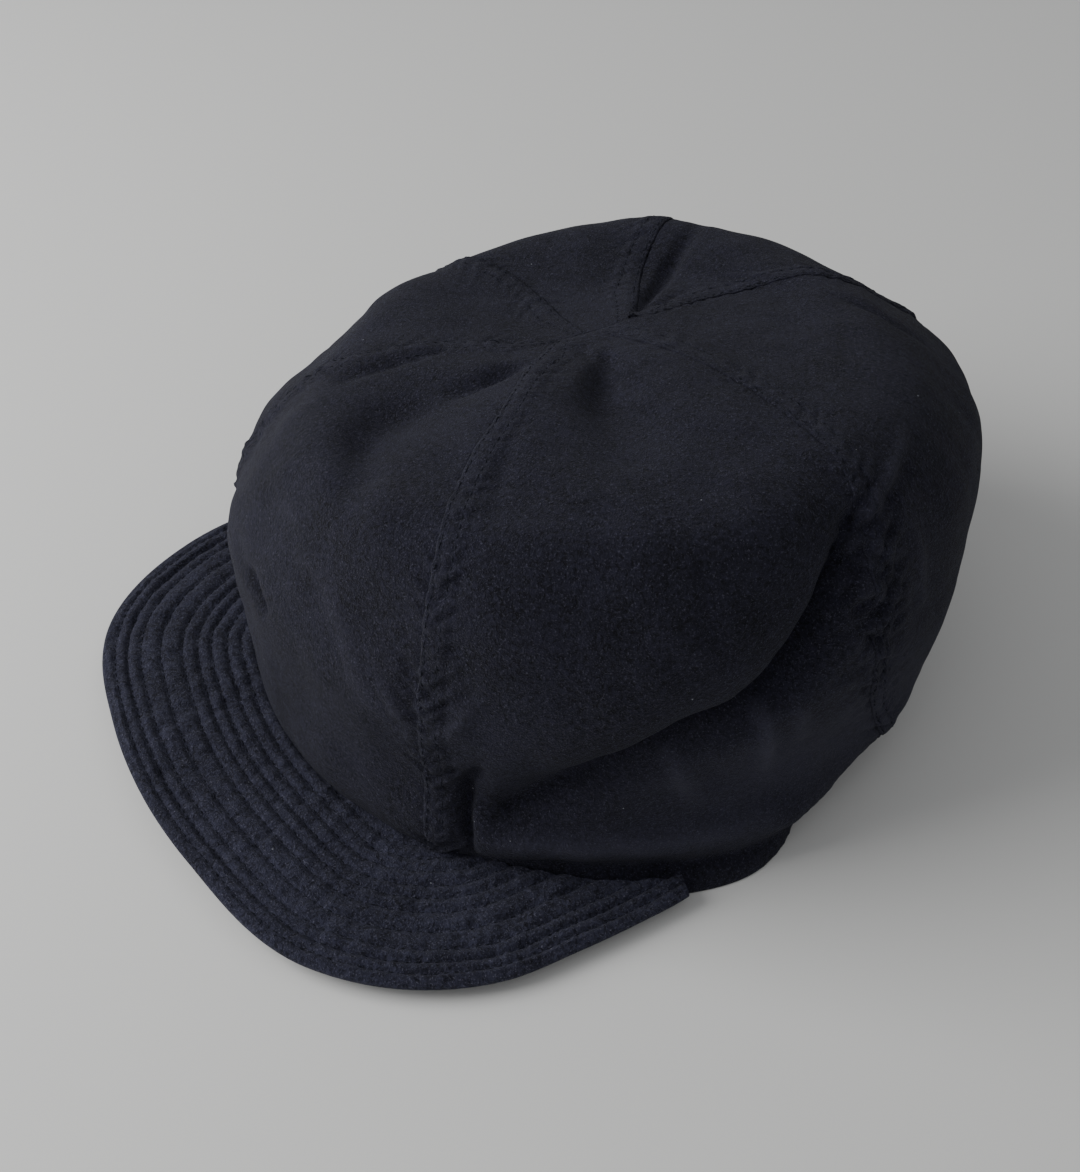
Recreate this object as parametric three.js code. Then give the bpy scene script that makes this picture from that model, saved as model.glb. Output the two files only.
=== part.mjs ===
import * as THREE from "three";

// A soft six-panel work cap with a short row-stitched visor, lying on its hem.
// Sizes are in millimetres. The visor points to -Y, the wearer's left is +X, the hem rests on z = 0.

// Driving sizes
const CLOTH = 1.8;                // thickness of the crown cloth
const SEAM_GAP = 0.3;             // air between neighbouring pieces
const SEAM_BAND = 7;              // width of a felled seam, across its two rows of stitches
const SEAM_RISE = 0.8;            // how far the doubled cloth of a seam stands out
const TIP_AT = 0.992;             // where the panels stop, just short of the crown's top
const VISOR_THICKNESS = 3.8;      // two cloths over a stiffener, beside the crown
const VISOR_EDGE_THICKNESS = 2.6; // the same at the visor's outer edge
const VISOR_ROOT_TOP = 6.4;       // height of the visor's upper face where it meets the crown
const ROOT_AT = 0.042;            // where on the crown the visor is sewn on, as a share of the way up
const VISOR_ROWS = 9;             // stitched rows between the crown and the outer edge
const ROW_DEPTH = 0.35;           // how deep the stitches pull each row into the visor
const HEM_ROWS = [0, 0.018, 0.032, 0.046, 0.06]; // rows of cloth round the hem, as shares of the way up
const ROLL_AT = 0.08;             // the soft roll of cloth over the hem
const ROWS_ABOVE_ROLL = 24;
const FOLD_FADE = 1.5;            // how fast a fold fades across its width
const FOLD_LINKS = 5;             // straight links between two stations of a fold
const SURFACE_NUDGE = 0.6;        // degrees either way, to find which way the cloth faces
const SURFACE_LIFT = 0.004;       // shares of the way up, for the same
const LAST_AT = 0.999;            // the highest place where that can be found
const WIDEST_BAND = 0.3;          // near the top a seam's band takes up to this share of its panel
const SEAM_STEP = 1;              // the band's edge steps down over this width
const WIDEST_STEP = 0.1;          // and near the top over this share of the panel

// Level sections of the crown from the hem to the top.
// at: share of the way up the cloth; tilt: how much higher the front or the left side stands;
// the last eight columns are the reach from the middle, every 45 degrees round.
const REACHES = ["front", "front_left", "left", "back_left", "back", "back_right", "right", "front_right"];
const SECTIONS = table(
  ["name", "at", "height", "tilt_front", "tilt_left", "middle_x", "middle_y", ...REACHES],
  [
    ["rim", 0, 0, 0, 0, 0, 0, 97, 100, 117, 105, 98, 96, 94, 96],
    ["hem", 0.03, 5, 0, 0, 0, 0, 98, 101, 116, 105, 99, 97, 95, 97],
    ["roll", 0.08, 11.5, 0.5, 2.5, 1, 1, 101, 105, 111.5, 113.5, 106, 101, 99, 99],
    ["waist", 0.22, 36, 2, -2, 1, 3, 103, 104, 107, 121, 113, 108, 105, 103],
    ["belly", 0.38, 65, 1, 3, 0, 6, 105, 108, 114, 124, 124, 117, 110, 107],
    ["shoulder", 0.56, 95, 6, 13, -2, 13, 92, 96, 103, 116, 118, 109, 99, 89],
    ["upper", 0.72, 110, -1, 11, -4, 18, 73, 77, 87, 88, 83, 86, 79, 74],
    ["crest", 0.87, 110, 2, 10, -10, 24, 38, 41, 46, 49, 48, 42, 40, 37],
    ["top", 1, 108, 0, 0, -12, 25, 0, 0, 0, 0, 0, 0, 0, 0],
  ],
);

// Seams: how far round each one runs, in degrees from the front towards the left, at five heights.
const SEAM_HEIGHTS = [0, 0.2, 0.38, 0.56, 0.87];
const SEAMS = table(
  ["name", "rim", "waist", "belly", "shoulder", "crest"],
  [
    ["front_left_seam", 38, 36, 35, 32, 24],
    ["left_seam", 122, 114, 105, 103, 105],
    ["back_left_seam", 155, 159, 163, 170, 181],
    ["back_seam", 209, 210, 213, 218, 224],
    ["right_seam", 268, 269, 270, 270, 266],
    ["front_right_seam", 324, 324, 321, 318, 323],
  ],
);

// Panels: each one runs from one seam to the next, cut into a number of strips.
const PANELS = table(
  ["name", "from", "to", "strips"],
  [
    ["panel_front_left", "front_left_seam", "left_seam", 21],
    ["panel_back_left", "left_seam", "back_left_seam", 11],
    ["panel_back", "back_left_seam", "back_seam", 10],
    ["panel_back_right", "back_seam", "right_seam", 10],
    ["panel_front_right", "right_seam", "front_right_seam", 10],
    ["panel_front", "front_right_seam", "front_left_seam", 12],
  ],
);

// Folds and dimples, as stations along each one. depth is inward, and a minus stands out.
// width is to where the fold has faded.
const FOLDS = table(
  ["name", "round", "at", "depth", "width"],
  [
    ["crease under the bulge", 49, 0.18, 2.5, 9],
    ["crease under the bulge", 57, 0.24, 6, 12],
    ["crease under the bulge", 66, 0.29, 8.5, 14],
    ["crease under the bulge", 76, 0.345, 10, 14],
    ["crease under the bulge", 84, 0.37, 9, 13],
    ["crease under the bulge", 90, 0.41, 8, 12],
    ["crease under the bulge", 95, 0.46, 6.5, 11],
    ["crease under the bulge", 99, 0.53, 4.5, 9],
    ["crease under the bulge", 102, 0.6, 1.5, 8],
    ["bulge over the crease", 56, 0.36, -1, 16],
    ["bulge over the crease", 76, 0.48, -2.5, 20],
    ["bulge over the crease", 89, 0.57, -2, 16],
    ["gap over the hem", 42, 0.05, 0.5, 5],
    ["gap over the hem", 56, 0.05, 3, 6],
    ["gap over the hem", 76, 0.048, 6, 7],
    ["gap over the hem", 96, 0.046, 5, 7],
    ["gap over the hem", 116, 0.046, 0.5, 6],
    ["hem tucked under the roll", 92, 0, 0, 12],
    ["hem tucked under the roll", 102, 0, 7, 14],
    ["hem tucked under the roll", 116, 0, 11, 15],
    ["hem tucked under the roll", 132, 0, 6, 15],
    ["hem tucked under the roll", 142, 0, 0, 14],
    ["droop of the roll at the left", 86, 0.085, 0, 12],
    ["droop of the roll at the left", 97, 0.075, -5, 14],
    ["droop of the roll at the left", 106, 0.085, -2, 13],
    ["droop of the roll at the left", 116, 0.09, 0, 12],
    ["tuck beside the front-left seam", 43.5, 0.09, 1, 5],
    ["tuck beside the front-left seam", 43.5, 0.18, 1.8, 6],
    ["tuck beside the front-left seam", 45, 0.26, 1, 6],
    ["fold beside the back seam", 207, 0.94, 1.2, 3],
    ["fold beside the back seam", 212.5, 0.9, 3, 3.6],
    ["fold beside the back seam", 215, 0.83, 3, 4],
    ["fold beside the back seam", 214.8, 0.775, 2, 4.5],
    ["fold beside the back seam", 214.7, 0.7, 0.5, 5],
    ["fold under the front-right seam", 357, 0.825, 2, 6],
    ["fold under the front-right seam", 362, 0.865, 4.5, 6],
    ["fold under the front-right seam", 366, 0.9, 1.5, 5],
    ["dimple in the front", 352, 0.735, 3, 12],
    ["dimple in the front", 358, 0.69, 5, 14],
    ["dimple in the front", 366.5, 0.635, 4, 13],
    ["hollow across the front", 351.5, 0.739, 1.5, 20],
    ["hollow across the front", 356, 0.781, 4.5, 20],
    ["hollow across the front", 360, 0.815, 3.5, 18],
    ["hollow across the front", 364, 0.85, 0.8, 14],
    ["dimple below the top", 59, 0.955, 1.5, 4],
    ["dimple below the top", 58, 0.915, 5.5, 8],
    ["dimple below the top", 58, 0.865, 5.5, 14],
    ["dimple below the top", 62, 0.8, 3, 22],
    ["hook at the front's edge", 345, 0.39, 0.5, 6],
    ["hook at the front's edge", 351, 0.38, 1, 6],
    ["hook at the front's edge", 355, 0.37, 3, 5],
    ["hook at the front's edge", 358, 0.365, 2, 5],
  ],
);

// Visor: how far it stands out from the hem and how high its edge is, from the right tip to the left tip.
const VISOR = table(
  ["round", "out", "edge_top"],
  [
    [-83, 4, 5.8],
    [-68, 18.5, 4.5],
    [-50, 38, 4.4],
    [-32, 49.8, 7],
    [-12, 47.8, 11],
    [12, 48.6, 9.5],
    [32, 53.2, 7],
    [53, 37.3, 6],
    [62, 23, 5.8],
    [70.5, 12, 5.8],
    [78.5, 4, 5.8],
  ],
);
const VISOR_STRIPS = 28;          // strips from tip to tip

const CLOTH_LOOK = { color: 0x1c2230, roughness: 0.95, metalness: 0 };
const VISOR_LOOK = { color: 0x1a202d, roughness: 0.95, metalness: 0 };

function table(columns, rows) {
  return rows.map((row) => Object.fromEntries(columns.map((column, i) => [column, row[i]])));
}

function radians(degrees) {
  return (degrees * Math.PI) / 180;
}

// A smooth curve through a table's rows. Its slope at a row is that of the parabola through three rows.
function curve(places, values) {
  const last = places.length - 1;
  const steps = places.slice(1).map((place, i) => place - places[i]);
  const rises = steps.map((step, i) => (values[i + 1] - values[i]) / step);
  const slopes = places.map((_, i) => {
    if (i === 0) return rises[0];
    if (i === last) return rises[last - 1];
    return (steps[i - 1] * rises[i] + steps[i] * rises[i - 1]) / (steps[i - 1] + steps[i]);
  });
  return (place) => {
    let i = 0;
    while (i < last - 1 && place >= places[i + 1]) i += 1;
    const t = (place - places[i]) / steps[i];
    const rest = 1 - t;
    const ends = values[i] * (1 + 2 * t) * rest * rest + values[i + 1] * (3 - 2 * t) * t * t;
    return ends + steps[i] * t * rest * (slopes[i] * rest - slopes[i + 1] * t);
  };
}

function column(rows, place, name) {
  return curve(rows.map((row) => row[place]), rows.map((row) => row[name]));
}

const section = Object.fromEntries(
  Object.keys(SECTIONS[0])
    .slice(2)
    .map((name) => [name, column(SECTIONS, "at", name)]),
);

// The same kind of curve closed round the cap, through its eight reaches.
function ring(round, reaches) {
  const count = reaches.length;
  const step = 360 / count;
  const place = (((round % 360) + 360) % 360) / step;
  const first = Math.floor(place) % count;
  const four = [-1, 0, 1, 2].map((k) => reaches[(first + k + count) % count]);
  return curve([-1, 0, 1, 2], four)(place - Math.floor(place));
}

// The crown's smooth form, before any fold.
function form(round, at) {
  const reach = ring(round, REACHES.map((name) => section[name](at)));
  const sine = Math.sin(radians(round));
  const cosine = Math.cos(radians(round));
  return new THREE.Vector3(
    section.middle_x(at) + reach * sine,
    section.middle_y(at) - reach * cosine,
    section.height(at) + section.tilt_front(at) * cosine + section.tilt_left(at) * sine,
  );
}

function outward(surface, round, at) {
  const across = surface(round + SURFACE_NUDGE, at).sub(surface(round - SURFACE_NUDGE, at));
  const above = surface(round, Math.min(at + SURFACE_LIFT, LAST_AT));
  const below = surface(round, Math.max(at - SURFACE_LIFT, 0));
  return across.cross(above.sub(below)).normalize();
}

// Each fold as a chain of points on the smooth form, a few between two stations.
function foldChains() {
  const chains = [];
  FOLDS.forEach((station, i) => {
    const next = FOLDS[i + 1];
    if (!next || next.name !== station.name) return;
    const turn = ((next.round - station.round + 540) % 360) - 180;
    for (let k = 0; k < FOLD_LINKS; k += 1) {
      const ends = [k / FOLD_LINKS, (k + 1) / FOLD_LINKS].map((t) => ({
        point: form(station.round + turn * t, station.at + (next.at - station.at) * t),
        depth: station.depth + (next.depth - station.depth) * t,
        width: station.width + (next.width - station.width) * t,
      }));
      chains.push({ name: station.name, start: ends[0], end: ends[1] });
    }
  });
  return chains;
}

const CHAINS = foldChains();

function foldDepth(point) {
  const deepest = {};
  for (const { name, start, end } of CHAINS) {
    const along = end.point.clone().sub(start.point);
    const share = THREE.MathUtils.clamp(point.clone().sub(start.point).dot(along) / along.lengthSq(), 0, 1);
    const distance = point.distanceTo(start.point.clone().addScaledVector(along, share));
    const width = start.width + (end.width - start.width) * share;
    const depth = start.depth + (end.depth - start.depth) * share;
    const fade = (FOLD_FADE * distance) / width;
    const here = depth * Math.exp(-fade * fade);
    if (Math.abs(here) > Math.abs(deepest[name] ?? 0)) deepest[name] = here;
  }
  return Object.values(deepest).reduce((sum, depth) => sum + depth, 0);
}

// The crown's outer face with its folds. The hem lies flat, so a fold moves it only sideways.
function skin(round, at) {
  const point = form(round, at);
  const move = outward(form, round, at).multiplyScalar(-foldDepth(point));
  move.z *= Math.min(at / HEM_ROWS[2], 1);
  return point.add(move);
}

function seamRound(name, at) {
  const seam = SEAMS.find((row) => row.name === name);
  const rounds = SEAM_HEIGHTS.map((_, i) => Object.values(seam)[i + 1]);
  return curve([...SEAM_HEIGHTS, 1], [...rounds, rounds[rounds.length - 1]])(at);
}

function seamReach(round, at) {
  const point = form(round, at);
  return Math.hypot(point.x - section.middle_x(at), point.y - section.middle_y(at));
}

function crownRows() {
  const rows = [...HEM_ROWS];
  for (let i = 0; i <= ROWS_ABOVE_ROLL; i += 1) {
    rows.push(ROLL_AT + ((TIP_AT - ROLL_AT) * i) / ROWS_ABOVE_ROLL);
  }
  return rows;
}

// A closed body from two matching grids of points, the outer face and the inner face.
function slab(name, outer, inner, look) {
  const rows = outer.length;
  const columns = outer[0].length;
  const positions = [...outer.flat(), ...inner.flat()].flatMap((point) => point.toArray());
  const faces = [];
  const out = (i, j) => i * columns + j;
  const into = (i, j) => rows * columns + i * columns + j;
  const four = (a, b, c, d) => faces.push(a, b, c, a, c, d);
  for (let i = 0; i < rows - 1; i += 1) {
    for (let j = 0; j < columns - 1; j += 1) {
      four(out(i, j), out(i, j + 1), out(i + 1, j + 1), out(i + 1, j));
      four(into(i, j), into(i + 1, j), into(i + 1, j + 1), into(i, j + 1));
    }
    const end = columns - 1;
    four(out(i, 0), out(i + 1, 0), into(i + 1, 0), into(i, 0));
    four(out(i, end), into(i, end), into(i + 1, end), out(i + 1, end));
  }
  for (let j = 0; j < columns - 1; j += 1) {
    const top = rows - 1;
    four(out(0, j), into(0, j), into(0, j + 1), out(0, j + 1));
    four(out(top, j), out(top, j + 1), into(top, j + 1), into(top, j));
  }
  const geometry = new THREE.BufferGeometry();
  geometry.setAttribute("position", new THREE.Float32BufferAttribute(positions, 3));
  geometry.setIndex(faces);
  geometry.computeVertexNormals();
  const mesh = new THREE.Mesh(geometry, new THREE.MeshStandardMaterial(look));
  mesh.name = name;
  return mesh;
}

// One gore of the crown. The felled seam's doubled cloth is the raised strip along its first edge.
function crownPanel({ name, from, to, strips }) {
  const outer = [];
  const inner = [];
  for (const at of crownRows()) {
    const first = seamRound(from, at);
    const turn = (seamRound(to, at) - first + 360) % 360;
    const middle = first + turn / 2;
    const reach = seamReach(middle, at);
    const gap = ((SEAM_GAP / 2 / reach) * 180) / Math.PI;
    const width = radians(turn) * reach;
    const band = Math.min(SEAM_BAND / width, WIDEST_BAND);
    const step = Math.min(SEAM_STEP / width, WIDEST_STEP);
    const shares = [0, band - step, band];
    for (let j = 1; j <= strips - 2; j += 1) shares.push(band + ((1 - band) * j) / (strips - 2));
    const outerRow = [];
    const innerRow = [];
    shares.forEach((share, j) => {
      const round = first + gap + (turn - 2 * gap) * share;
      const point = skin(round, at);
      const away = outward(skin, round, at);
      const inside = point.clone().addScaledVector(away, -CLOTH);
      if (j < 2) point.addScaledVector(away, SEAM_RISE * Math.min(1, at / HEM_ROWS[1]));
      if (at === 0) inside.z = 0;
      outerRow.push(point);
      innerRow.push(inside);
    });
    outer.push(outerRow);
    inner.push(innerRow);
  }
  return slab(name, outer, inner, CLOTH_LOOK);
}

// The visor, from the hem outwards, its stitched rows drawn in as grooves on both faces.
function visor() {
  const out = column(VISOR, "round", "out");
  const edgeTop = column(VISOR, "round", "edge_top");
  const firstRound = VISOR[0].round;
  const lastRound = VISOR[VISOR.length - 1].round;
  const rootClear = SEAM_RISE + 2 * SEAM_GAP;
  const upper = [];
  const under = [];
  const grooves = 2 * VISOR_ROWS;
  for (let i = grooves; i >= 0; i -= 1) {
    const share = i / grooves;
    const upperRow = [];
    const underRow = [];
    for (let j = 0; j <= VISOR_STRIPS; j += 1) {
      const round = firstRound + ((lastRound - firstRound) * j) / VISOR_STRIPS;
      const root = form(round, ROOT_AT);
      const away = new THREE.Vector3(Math.sin(radians(round)), -Math.cos(radians(round)), 0);
      const point = root.clone().addScaledVector(away, rootClear + (out(round) - rootClear) * share);
      const top = VISOR_ROOT_TOP + (edgeTop(round) - VISOR_ROOT_TOP) * share;
      const thickness = VISOR_THICKNESS + (VISOR_EDGE_THICKNESS - VISOR_THICKNESS) * share ** 3;
      const pull = i % 2 === 1 ? ROW_DEPTH : 0;
      upperRow.push(point.clone().setZ(top - pull));
      underRow.push(point.clone().setZ(Math.max(top - thickness + pull, 0)));
    }
    upper.push(upperRow);
    under.push(underRow);
  }
  return slab("visor", upper, under, VISOR_LOOK);
}

const cap = new THREE.Group();
cap.name = "work_cap";
PANELS.forEach((row) => cap.add(crownPanel(row)));
cap.add(visor());

// The cap's own middle goes over the origin.
const extent = new THREE.Box3().setFromObject(cap);
const middle = extent.getCenter(new THREE.Vector3());
cap.children.forEach((piece) => piece.geometry.translate(-middle.x, -middle.y, -extent.min.z));

export default cap;
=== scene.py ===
# %% [markdown]
# # A soft six-panel work cap with a row-stitched visor
# The cap lies on its hem on a pale floor. Its six crown panels are sewn together with felled seams,
# and its short visor is stitched in rows that follow the outer edge. This first cell opens the
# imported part, which fixes the size and the place of everything that follows.

import math

import bpy
import numpy as np
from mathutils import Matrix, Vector


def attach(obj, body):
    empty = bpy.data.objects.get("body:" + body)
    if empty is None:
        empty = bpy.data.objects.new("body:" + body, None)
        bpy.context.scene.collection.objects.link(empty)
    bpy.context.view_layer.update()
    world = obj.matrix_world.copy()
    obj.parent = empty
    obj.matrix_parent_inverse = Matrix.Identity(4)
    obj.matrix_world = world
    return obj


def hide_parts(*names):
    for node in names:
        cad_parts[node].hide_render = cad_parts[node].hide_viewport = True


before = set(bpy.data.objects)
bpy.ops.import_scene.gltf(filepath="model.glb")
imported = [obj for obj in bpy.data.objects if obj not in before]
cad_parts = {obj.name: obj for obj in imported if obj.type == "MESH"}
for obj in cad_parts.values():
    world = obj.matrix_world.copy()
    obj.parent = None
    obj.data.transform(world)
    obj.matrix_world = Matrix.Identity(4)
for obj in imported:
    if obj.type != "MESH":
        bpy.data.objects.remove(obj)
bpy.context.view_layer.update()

# %% [markdown]
# ## The camera
# The photograph looks down at the cap from its left front, about 59 degrees round from the visor and
# 43 degrees above the floor. A camera is placed by the point it looks at, its distance and its two
# angles, which is easier to correct than a position and a turn.

# %% Camera
# The middle of the pattern's box in the pattern's millimetres, which lies over the origin here.
MIDDLE = np.array([2.833, -6.075, 0.0])
CAMERA_ROUND = 59.0
CAMERA_ABOVE = 43.0
CAMERA_DISTANCE = 600.0
CAMERA_TARGET = np.array([12.0, -12.0, 40.0])
PHOTO_HEIGHT = 1172
PIXELS_PER_MM = 3.15  # at the camera's target
SENSOR_HEIGHT = 36.0


def to_metres(points):
    """Pattern millimetres to the part's frame in metres."""
    return (np.asarray(points, float) - MIDDLE) / 1000.0


round_angle, above_angle = math.radians(CAMERA_ROUND), math.radians(CAMERA_ABOVE)
towards_camera = Vector(
    (
        math.sin(round_angle) * math.cos(above_angle),
        -math.cos(round_angle) * math.cos(above_angle),
        math.sin(above_angle),
    )
)
camera_data = bpy.data.cameras.new("camera")
camera_data.sensor_fit = "VERTICAL"
camera_data.sensor_height = SENSOR_HEIGHT
camera_data.lens = PIXELS_PER_MM * CAMERA_DISTANCE / PHOTO_HEIGHT * SENSOR_HEIGHT
camera_data.clip_start = 0.01
camera = bpy.data.objects.new("camera", camera_data)
bpy.context.scene.collection.objects.link(camera)
camera.location = Vector(to_metres(CAMERA_TARGET)) + towards_camera * (CAMERA_DISTANCE / 1000.0)
camera.rotation_euler = towards_camera.to_track_quat("Z", "Y").to_euler()
bpy.context.scene.camera = camera
print("camera at", tuple(round(value, 3) for value in camera.location), "lens", round(camera_data.lens, 1))

# %% [markdown]
# ## Colours and a helper for materials
# A dye is written down as the hex value that a paint program shows. Blender's shaders count in linear
# light, so one function turns the first into the second. A second one adds a shader node together
# with its settings and its links, which keeps every material below short.


# %% Colour and node helpers
def linear(hex_value, alpha=1.0):
    """An sRGB hex colour as Blender's linear red, green, blue and alpha."""
    parts = [int(hex_value[i : i + 2], 16) / 255.0 for i in (1, 3, 5)]
    return tuple(p / 12.92 if p <= 0.04045 else ((p + 0.055) / 1.055) ** 2.4 for p in parts) + (alpha,)


def new_material(name):
    """A node material without any nodes yet."""
    material = bpy.data.materials.new(name)
    material.use_nodes = True
    material.node_tree.nodes.clear()
    return material


def add_node(material, kind, settings=None, values=None, links=None):
    """Adds a node of a kind, sets its properties and input values, and links its inputs to other outputs."""
    node = material.node_tree.nodes.new(kind)
    for key, value in (settings or {}).items():
        setattr(node, key, value)
    for key, value in (values or {}).items():
        node.inputs[key].default_value = value
    for key, source in (links or {}).items():
        material.node_tree.links.new(source, node.inputs[key])
    return node


print("navy is", tuple(round(value, 4) for value in linear("#20222d")))

# %% [markdown]
# ## Floor and light
# A plain pale floor and a soft studio light show a dark cloth best. One broad lamp stands to the left
# of the camera and high up, as in the photograph, where the front panel is the brightest and the left
# side of the crown falls into shade. A broad weak lamp low in front lights the roll of cloth over the
# hem, and the pale world fills the shadows. The wider a lamp, the softer the edge of its light.

# %% Floor and studio light
FLOOR_SIZE = 8.0
FLOOR_DROP = 0.0004
LAMP_AIM = Vector((0.0, 0.0, 0.05))
LAMPS = [
    # name, direction, distance in metres, width in metres, watts
    ("key_lamp", (-0.58, -0.98, 0.72), 1.1, 0.85, 14.0),
    ("fill_lamp", (0.6, -0.9, 0.12), 1.3, 1.0, 2.0),
]
WORLD_COLOUR = "#f1f2f4"
WORLD_STRENGTH = 0.44
bpy.ops.object.select_all(action="DESELECT")
bpy.ops.mesh.primitive_plane_add(size=FLOOR_SIZE, location=(0.0, 0.0, -FLOOR_DROP))
floor = bpy.context.object
floor.name = "studio_floor"
floor_paint = new_material("pale_matt_floor_paint")
floor_shader = add_node(
    floor_paint,
    "ShaderNodeBsdfPrincipled",
    values={"Base Color": linear("#dcdcda"), "Roughness": 0.8, "Specular IOR Level": 0.2},
)
add_node(floor_paint, "ShaderNodeOutputMaterial", links={"Surface": floor_shader.outputs["BSDF"]})
floor.data.materials.append(floor_paint)


def studio_lamp(name, direction, distance, size, power):
    """A square soft lamp that looks at the cap's middle from a direction."""
    lamp_data = bpy.data.lights.new(name, "AREA")
    lamp_data.size = size
    lamp_data.energy = power
    lamp = bpy.data.objects.new(name, lamp_data)
    bpy.context.scene.collection.objects.link(lamp)
    way = Vector(direction).normalized()
    lamp.location = way * distance + LAMP_AIM
    lamp.rotation_euler = way.to_track_quat("Z", "Y").to_euler()
    return lamp


lamps = [studio_lamp(*row) for row in LAMPS]
world = bpy.data.worlds.new("pale_studio")
bpy.context.scene.world = world
world.use_nodes = True
background = world.node_tree.nodes["Background"]
background.inputs["Color"].default_value = linear(WORLD_COLOUR)
background.inputs["Strength"].default_value = WORLD_STRENGTH
print("floor of", FLOOR_SIZE, "m and", len(lamps), "lamps")

# %% [markdown]
# ## The cap's pattern tables
# A soft cap has no flat faces to measure from, so its form is written as level sections, from the hem
# to the top, each with its height and its reach in eight directions. The seams are a table of how far
# round they run at five heights, and the folds are short chains of stations with a depth and a width.
# These are the same named values as in the solid part, in millimetres, so the two always agree. Only
# the small wrinkles are here alone, because they are too fine for the solid part.

# %% Tables of the crown
REACH_STEP = 45.0
SECTIONS = np.array(
    [
        # at, height, tilt_front, tilt_left, middle_x, middle_y, then the reach: front, front_left, left,
        # back_left, back, back_right, right, front_right
        [0, 0, 0, 0, 0, 0, 97, 100, 117, 105, 98, 96, 94, 96],  # rim
        [0.03, 5, 0, 0, 0, 0, 98, 101, 116, 105, 99, 97, 95, 97],  # hem
        [0.08, 11.5, 0.5, 2.5, 1, 1, 101, 105, 111.5, 113.5, 106, 101, 99, 99],  # roll
        [0.22, 36, 2, -2, 1, 3, 103, 104, 107, 121, 113, 108, 105, 103],  # waist
        [0.38, 65, 1, 3, 0, 6, 105, 108, 114, 124, 124, 117, 110, 107],  # belly
        [0.56, 95, 6, 13, -2, 13, 92, 96, 103, 116, 118, 109, 99, 89],  # shoulder
        [0.72, 110, -1, 11, -4, 18, 73, 77, 87, 88, 83, 86, 79, 74],  # upper
        [0.87, 110, 2, 10, -10, 24, 38, 41, 46, 49, 48, 42, 40, 37],  # crest
        [1, 108, 0, 0, -12, 25, 0, 0, 0, 0, 0, 0, 0, 0],  # top
    ],
    float,
)
SEAM_HEIGHTS = np.array([0, 0.2, 0.38, 0.56, 0.87, 1.0])
SEAMS = {
    # Degrees round from the front at the rim, waist, belly, shoulder and crest. From the crest to the
    # top a seam keeps the crest's.
    "front_left_seam": [38, 36, 35, 32, 24],
    "left_seam": [122, 114, 105, 103, 105],
    "back_left_seam": [155, 159, 163, 170, 181],
    "back_seam": [209, 210, 213, 218, 224],
    "right_seam": [268, 269, 270, 270, 266],
    "front_right_seam": [324, 324, 321, 318, 323],
}
HEM_AT = 0.032  # below this the cloth stands upright on the floor
ROOT_AT = 0.042  # where on the crown the visor is sewn on
FOLDS = {
    # name: (round, at, depth, width) of each station, a minus depth stands out
    "crease under the bulge": [
        (49, 0.18, 2.5, 9), (57, 0.24, 6, 12), (66, 0.29, 8.5, 14), (76, 0.345, 10, 14),
        (84, 0.37, 9, 13), (90, 0.41, 8, 12), (95, 0.46, 6.5, 11), (99, 0.53, 4.5, 9),
        (102, 0.6, 1.5, 8),
    ],
    "bulge over the crease": [(56, 0.36, -1, 16), (76, 0.48, -2.5, 20), (89, 0.57, -2, 16)],
    "gap over the hem": [
        (42, 0.05, 0.5, 5), (56, 0.05, 3, 6), (76, 0.048, 6, 7), (96, 0.046, 5, 7),
        (116, 0.046, 0.5, 6),
    ],
    "hem tucked under the roll": [
        (92, 0, 0, 12), (102, 0, 7, 14), (116, 0, 11, 15), (132, 0, 6, 15), (142, 0, 0, 14),
    ],
    "droop of the roll at the left": [
        (86, 0.085, 0, 12), (97, 0.075, -5, 14), (106, 0.085, -2, 13), (116, 0.09, 0, 12),
    ],
    "tuck beside the front-left seam": [(43.5, 0.09, 1, 5), (43.5, 0.18, 1.8, 6), (45, 0.26, 1, 6)],
    "fold beside the back seam": [
        (207, 0.94, 1.2, 3), (212.5, 0.9, 3, 3.6), (215, 0.83, 3, 4), (214.8, 0.775, 2, 4.5),
        (214.7, 0.7, 0.5, 5),
    ],
    "fold under the front-right seam": [
        (357, 0.825, 2, 6), (362, 0.865, 4.5, 6), (366, 0.9, 1.5, 5),
    ],
    "dimple in the front": [(352, 0.735, 3, 12), (358, 0.69, 5, 14), (366.5, 0.635, 4, 13)],
    "hollow across the front": [
        (351.5, 0.739, 1.5, 20), (356, 0.781, 4.5, 20), (360, 0.815, 3.5, 18), (364, 0.85, 0.8, 14),
    ],
    "dimple below the top": [
        (59, 0.955, 1.5, 4), (58, 0.915, 5.5, 8), (58, 0.865, 5.5, 14), (62, 0.8, 3, 22),
    ],
    "hook at the front's edge": [
        (345, 0.39, 0.5, 6), (351, 0.38, 1, 6), (355, 0.37, 3, 5), (358, 0.365, 2, 5),
    ],
}
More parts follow.
